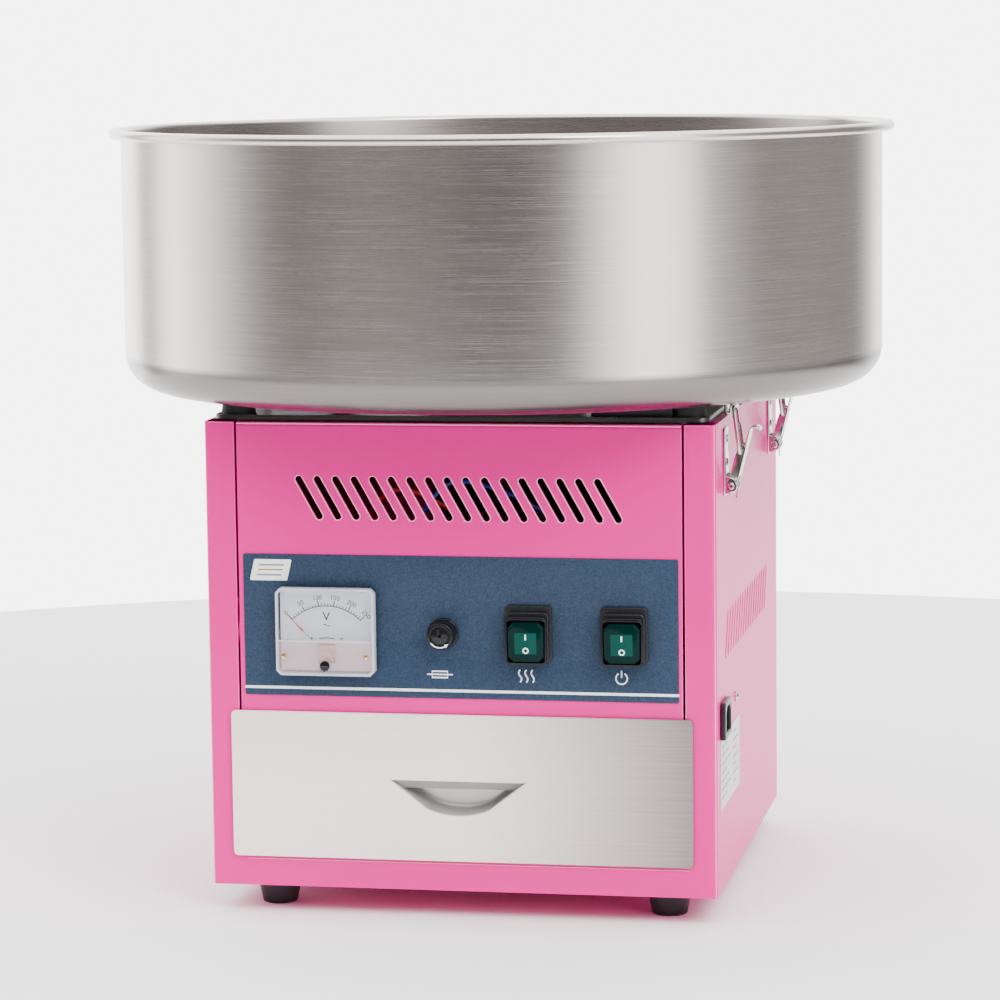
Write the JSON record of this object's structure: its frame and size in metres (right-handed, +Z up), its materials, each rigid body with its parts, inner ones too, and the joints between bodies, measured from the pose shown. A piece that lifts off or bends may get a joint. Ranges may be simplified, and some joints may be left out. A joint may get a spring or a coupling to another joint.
{
  "type": "cotton candy machine",
  "caption": "Table-top cotton candy machine with a steel cabinet, lift-off bowl held by toggle latches, spinning heated head, voltmeter, fuse, rocker switches and storage drawer.",
  "frame": {"origin": "on the floor, under the axis of the bowl and the spinning head", "axes": "+Z up along the spinning axis, -Y out of the control front, +X to the right seen from the front"},
  "size_m": [0.52, 0.5198, 0.501],
  "materials": {
    "pink_paint": "gloss powder coat",
    "stainless": "brushed",
    "zinc": "bright zinc plate",
    "spun_aluminium": "spun satin",
    "galvanised": "galvanised",
    "black_rubber": "matt",
    "label_film": "fine-grained printed film",
    "black_plastic": "moulded",
    "white_plastic": "printed card",
    "ceramic": "glazed",
    "copper": "bare",
    "clear_plastic": "polished clear",
    "needle_red": "painted",
    "green_lens": "translucent",
    "red_wire": "extruded",
    "blue_wire": "extruded",
    "carbon": "pressed graphite",
    "motor_enamel": "satin enamel"
  },
  "bodies": {
    "cabinet": {"body_shell": "pink_paint", "front_panel": "pink_paint", "back_panel": "pink_paint", "base_plate": "pink_paint", "divider_shelf": "galvanised", "top_tray": "stainless", "bowl_bumpers": "black_rubber", "feet": "black_rubber", "case_screws": "zinc", "control_label": "label_film", "meter_case": "black_plastic", "meter_dial": "white_plastic", "meter_coil": "copper", "meter_cover": "clear_plastic", "fuse_holder": "black_plastic", "switch_body_heat": "black_plastic", "switch_body_power": "black_plastic", "inlet_housing": "black_plastic", "inlet_pins": "zinc", "terminal_block": "ceramic", "wire_red": "red_wire", "wire_blue": "blue_wire", "motor_housing": "motor_enamel", "motor_bracket": "galvanised", "motor_mounts": "black_rubber", "motor_bearings": "zinc", "capacitor": "spun_aluminium", "brush_holder": "black_plastic", "carbon_brushes": "carbon", "drawer_runners": "galvanised", "latch_bases": "zinc"},
    "spinner": {"motor_rotor": "galvanised", "cooling_fan": "black_plastic", "slip_rings": "copper", "head_base": "spun_aluminium", "heater_ribbon": "copper", "mesh_band": "spun_aluminium", "head_cap": "spun_aluminium", "head_screws": "zinc"},
    "bowl": {"bowl": "stainless", "bowl_floor": "stainless", "bowl_catches": "zinc"},
    "drawer": {"drawer_box": "galvanised", "drawer_front": "stainless", "drawer_pull": "stainless"},
    "rocker_heat": {"rocker_heat": "green_lens"},
    "rocker_power": {"rocker_power": "green_lens"},
    "meter_needle": {"meter_needle": "needle_red"},
    "meter_zero_screw": {"meter_zero_screw": "black_plastic"},
    "fuse_carrier": {"fuse_carrier": "black_plastic", "fuse_cartridge": "clear_plastic"},
    "fuse_cap": {"fuse_cap": "black_plastic"},
    "lever_fr": {"latch_lever_fr": "zinc"},
    "bail_fr": {"latch_bail_fr": "zinc"},
    "lever_br": {"latch_lever_br": "zinc"},
    "bail_br": {"latch_bail_br": "zinc"},
    "lever_left": {"latch_lever_left": "zinc"},
    "bail_left": {"latch_bail_left": "zinc"}
  },
  "joints": [
    {"name": "head_spin", "type": "hinge", "parent": "cabinet", "child": "spinner", "pos_m": [0, 0, 0.3], "axis": [0, 0, 1], "continuous": true},
    {"name": "bowl_lift", "type": "slide", "parent": "cabinet", "child": "bowl", "axis": [0, 0, 1], "range_m": [0, 0.16]},
    {"name": "drawer_slide", "type": "slide", "parent": "cabinet", "child": "drawer", "axis": [0, -1, 0], "range_m": [0, 0.23]},
    {"name": "rocker_heat_press", "type": "hinge", "parent": "cabinet", "child": "rocker_heat", "pos_m": [0.045, -0.1716, 0.1813], "axis": [-1, 0, 0], "range_deg": [0, 12]},
    {"name": "rocker_power_press", "type": "hinge", "parent": "cabinet", "child": "rocker_power", "pos_m": [0.106, -0.1716, 0.1813], "axis": [-1, 0, 0], "range_deg": [0, 12]},
    {"name": "meter_swing", "type": "hinge", "parent": "cabinet", "child": "meter_needle", "pos_m": [-0.085, -0.17, 0.1706], "axis": [0, 1, 0], "range_deg": [0, 90], "stiffness_Nm_per_rad": 0.00002},
    {"name": "meter_zero_turn", "type": "hinge", "parent": "cabinet", "child": "meter_zero_screw", "pos_m": [-0.085, -0.1742, 0.1635], "axis": [0, 1, 0], "range_deg": [-30, 30]},
    {"name": "fuse_pull", "type": "slide", "parent": "cabinet", "child": "fuse_carrier", "axis": [0, -1, 0], "range_m": [0, 0.03]},
    {"name": "fuse_cap_twist", "type": "hinge", "parent": "fuse_carrier", "child": "fuse_cap", "pos_m": [-0.01, -0.17, 0.1843], "axis": [0, 1, 0], "range_deg": [-45, 0]},
    {"name": "lever_fr_swing", "type": "hinge", "parent": "cabinet", "child": "lever_fr", "pos_m": [0.169, -0.118, 0.2755], "axis": [0, 1, 0], "range_deg": [0, 115]},
    {"name": "bail_fr_swing", "type": "hinge", "parent": "lever_fr", "child": "bail_fr", "pos_m": [0.17432, -0.118, 0.29685], "axis": [0, 1, 0], "range_deg": [0, 50]},
    {"name": "lever_br_swing", "type": "hinge", "parent": "cabinet", "child": "lever_br", "pos_m": [0.169, 0.118, 0.2755], "axis": [0, 1, 0], "range_deg": [0, 115]},
    {"name": "bail_br_swing", "type": "hinge", "parent": "lever_br", "child": "bail_br", "pos_m": [0.17432, 0.118, 0.29685], "axis": [0, 1, 0], "range_deg": [0, 50]},
    {"name": "lever_left_swing", "type": "hinge", "parent": "cabinet", "child": "lever_left", "pos_m": [-0.169, 0, 0.2755], "axis": [0, -1, 0], "range_deg": [0, 115]},
    {"name": "bail_left_swing", "type": "hinge", "parent": "lever_left", "child": "bail_left", "pos_m": [-0.17432, 0, 0.29685], "axis": [0, -1, 0], "range_deg": [0, 50]}
  ]
}
